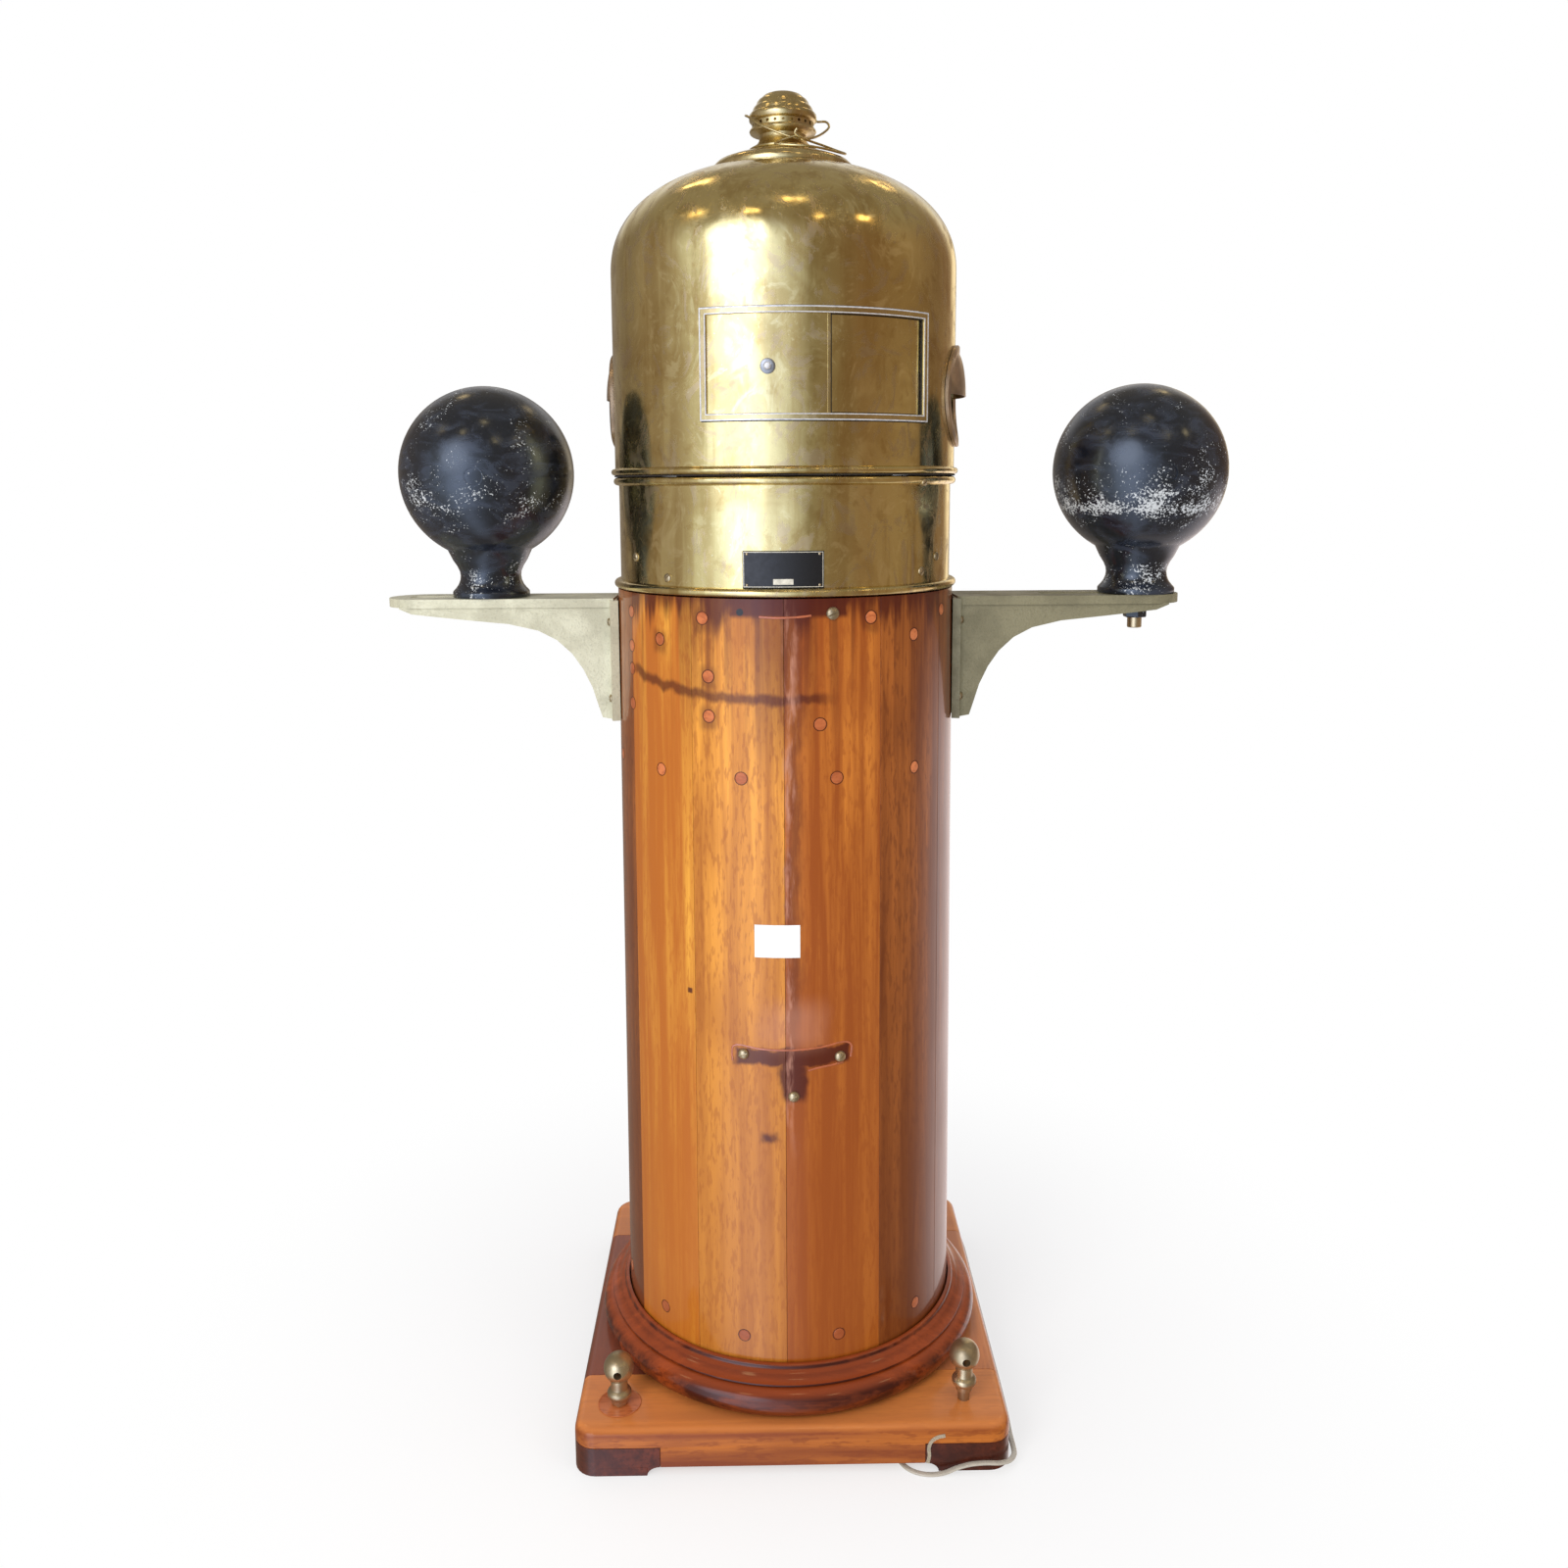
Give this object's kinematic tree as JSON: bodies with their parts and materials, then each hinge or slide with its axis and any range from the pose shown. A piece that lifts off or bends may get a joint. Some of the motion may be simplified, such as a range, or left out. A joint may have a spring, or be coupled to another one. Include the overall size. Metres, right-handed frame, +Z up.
{
  "type": "binnacle compass",
  "caption": "Free-standing ship's binnacle: wooden column on a square base, brass compass housing with a lift-off dome hood, and two iron correcting spheres on slotted arms.",
  "frame": {"origin": "on the pillar's axis at the level of the feet", "axes": "+Z up along the pillar, -Y the forward face with the shutter and nameplate, +X the starboard arm"},
  "size_m": [0.8722, 0.5235, 1.353],
  "materials": {
    "light_board": "varnished",
    "dark_board": "varnished",
    "moulding": "varnished",
    "old_brass": "tarnished",
    "stave_wood": "glossy varnish",
    "inner_wood": "bare",
    "cast_bracket": "as cast, lacquered",
    "black_iron": "worn black paint",
    "polished_brass": "polished, lacquered",
    "nameplate": "enamel",
    "steel": "satin",
    "felt": "felt",
    "clear_glass": "clear",
    "card": "matte",
    "lamp_plastic": "matte",
    "gland_rubber": "matte",
    "cord_jacket": "clear vinyl over copper",
    "plug_plastic": "matte"
  },
  "bodies": {
    "root": {"base_board_front": "light_board", "base_board_back": "light_board", "base_board_left": "dark_board", "base_board_right": "dark_board", "base_bottom_sheet": "dark_board", "base_torus_ring": "moulding", "base_ogee_ring": "moulding", "column_stave_front": "stave_wood", "column_stave_front_right": "stave_wood", "column_stave_back_right": "stave_wood", "column_stave_back": "stave_wood", "column_stave_back_left": "stave_wood", "column_stave_front_left": "stave_wood", "column_top_ring": "inner_wood", "column_bottom_ring": "inner_wood", "door_hinge_column_leaf": "old_brass", "sphere_bracket_left": "cast_bracket", "sphere_bracket_right": "cast_bracket", "bowl_housing": "polished_brass", "housing_floor": "polished_brass", "nameplate": "nameplate", "gimbal_support_ring": "old_brass", "lamp_socket": "lamp_plastic", "magnet_frame": "old_brass", "heeling_tube": "polished_brass", "cord_gland": "gland_rubber", "lamp_cord": "cord_jacket", "lamp_cord_coil": "cord_jacket", "lamp_plug": "plug_plastic"},
    "door": {"access_door": "stave_wood", "door_hinge_door_leaf": "old_brass"},
    "latch": {"door_latch": "old_brass"},
    "bolt_front_left": {"hold_down_bolt_front_left": "old_brass"},
    "bolt_front_right": {"hold_down_bolt_front_right": "old_brass"},
    "bolt_back_left": {"hold_down_bolt_back_left": "old_brass"},
    "bolt_back_right": {"hold_down_bolt_back_right": "old_brass"},
    "sphere_left": {"quadrantal_sphere_left": "black_iron", "sphere_clamp_left": "old_brass"},
    "sphere_right": {"quadrantal_sphere_right": "black_iron", "sphere_clamp_right": "old_brass"},
    "gimbal": {"gimbal_ring": "old_brass"},
    "bowl": {"compass_bowl": "polished_brass", "bowl_glass": "clear_glass", "bowl_bezel": "polished_brass"},
    "card": {"compass_card": "card"},
    "hood_seat": {"hood_seat_felt": "felt"},
    "hood": {"hood_shell": "polished_brass", "finial_flange": "polished_brass", "finial_knob": "polished_brass", "shutter_frame": "polished_brass", "side_vent_left": "polished_brass", "side_vent_right": "polished_brass", "rear_window_frame": "polished_brass", "rear_window_glass": "clear_glass"},
    "shutter": {"shutter_door": "polished_brass"},
    "fore_aft_tray": {"fore_aft_tray": "old_brass"},
    "athwart_tray": {"athwart_tray": "old_brass"},
    "fore_aft_screw": {"fore_aft_screw": "steel"},
    "athwart_screw": {"athwart_screw": "steel"},
    "heeling_bucket": {"heeling_bucket": "polished_brass"}
  },
  "joints": [
    {"name": "door_swing", "type": "hinge", "parent": "root", "child": "door", "pos_m": [-0.07427, 0.16681, 0.51], "axis": [0, 0, 1], "range_deg": [0, 110]},
    {"name": "latch_turn", "type": "hinge", "parent": "door", "child": "latch", "pos_m": [0.0599, 0.17397, 0.51], "axis": [0.3256, 0.9455, 0], "range_deg": [0, 90]},
    {"name": "bolt_turn_front_left", "type": "hinge", "parent": "root", "child": "bolt_front_left", "pos_m": [-0.1745, -0.1745, 0.048], "axis": [0, 0, 1], "continuous": true},
    {"name": "bolt_turn_front_right", "type": "hinge", "parent": "root", "child": "bolt_front_right", "pos_m": [0.1745, -0.1745, 0.048], "axis": [0, 0, 1], "continuous": true},
    {"name": "bolt_turn_back_left", "type": "hinge", "parent": "root", "child": "bolt_back_left", "pos_m": [-0.1745, 0.1745, 0.048], "axis": [0, 0, 1], "continuous": true},
    {"name": "bolt_turn_back_right", "type": "hinge", "parent": "root", "child": "bolt_back_right", "pos_m": [0.1745, 0.1745, 0.048], "axis": [0, 0, 1], "continuous": true},
    {"name": "sphere_slide_left", "type": "slide", "parent": "root", "child": "sphere_left", "axis": [-1, 0, 0], "range_m": [-0.028, 0.076]},
    {"name": "sphere_slide_right", "type": "slide", "parent": "root", "child": "sphere_right", "axis": [1, 0, 0], "range_m": [-0.09, 0.013]},
    {"name": "gimbal_roll", "type": "hinge", "parent": "root", "child": "gimbal", "pos_m": [0, 0, 0.955], "axis": [0, 1, 0], "range_deg": [-25, 25]},
    {"name": "gimbal_pitch", "type": "hinge", "parent": "gimbal", "child": "bowl", "pos_m": [0, 0, 0.955], "axis": [1, 0, 0], "range_deg": [-25, 25]},
    {"name": "card_turn", "type": "hinge", "parent": "bowl", "child": "card", "pos_m": [0, 0, 0.955], "axis": [0, 0, 1], "continuous": true},
    {"name": "hood_turn", "type": "hinge", "parent": "root", "child": "hood_seat", "pos_m": [0, 0, 0.9756], "axis": [0, 0, 1], "continuous": true},
    {"name": "hood_lift", "type": "slide", "parent": "hood_seat", "child": "hood", "axis": [0, 0, 1], "range_m": [0, 0.35]},
    {"name": "shutter_slide", "type": "hinge", "parent": "hood", "child": "shutter", "pos_m": [0, 0, 1.074], "axis": [0, 0, 1], "range_deg": [0, 33]},
    {"name": "fore_aft_tray_lift", "type": "slide", "parent": "root", "child": "fore_aft_tray", "axis": [0, 0, 1], "range_m": [-0.07, 0.05]},
    {"name": "athwart_tray_lift", "type": "slide", "parent": "root", "child": "athwart_tray", "axis": [0, 0, 1], "range_m": [-0.03, 0.09]},
    {"name": "fore_aft_screw_turn", "type": "hinge", "parent": "root", "child": "fore_aft_screw", "pos_m": [0.07, 0.07, 0.6], "axis": [0, 0, 1], "range_deg": [-3200, 2300]},
    {"name": "athwart_screw_turn", "type": "hinge", "parent": "root", "child": "athwart_screw", "pos_m": [-0.07, 0.07, 0.6], "axis": [0, 0, 1], "range_deg": [-1400, 4100]},
    {"name": "heeling_bucket_lift", "type": "slide", "parent": "root", "child": "heeling_bucket", "axis": [0, 0, 1], "range_m": [-0.1, 0.06]}
  ],
  "couplings": [
    {"joint": "fore_aft_screw_turn", "follows": "fore_aft_tray_lift", "rad_per_m": 785.4},
    {"joint": "athwart_screw_turn", "follows": "athwart_tray_lift", "rad_per_m": 785.4}
  ]
}
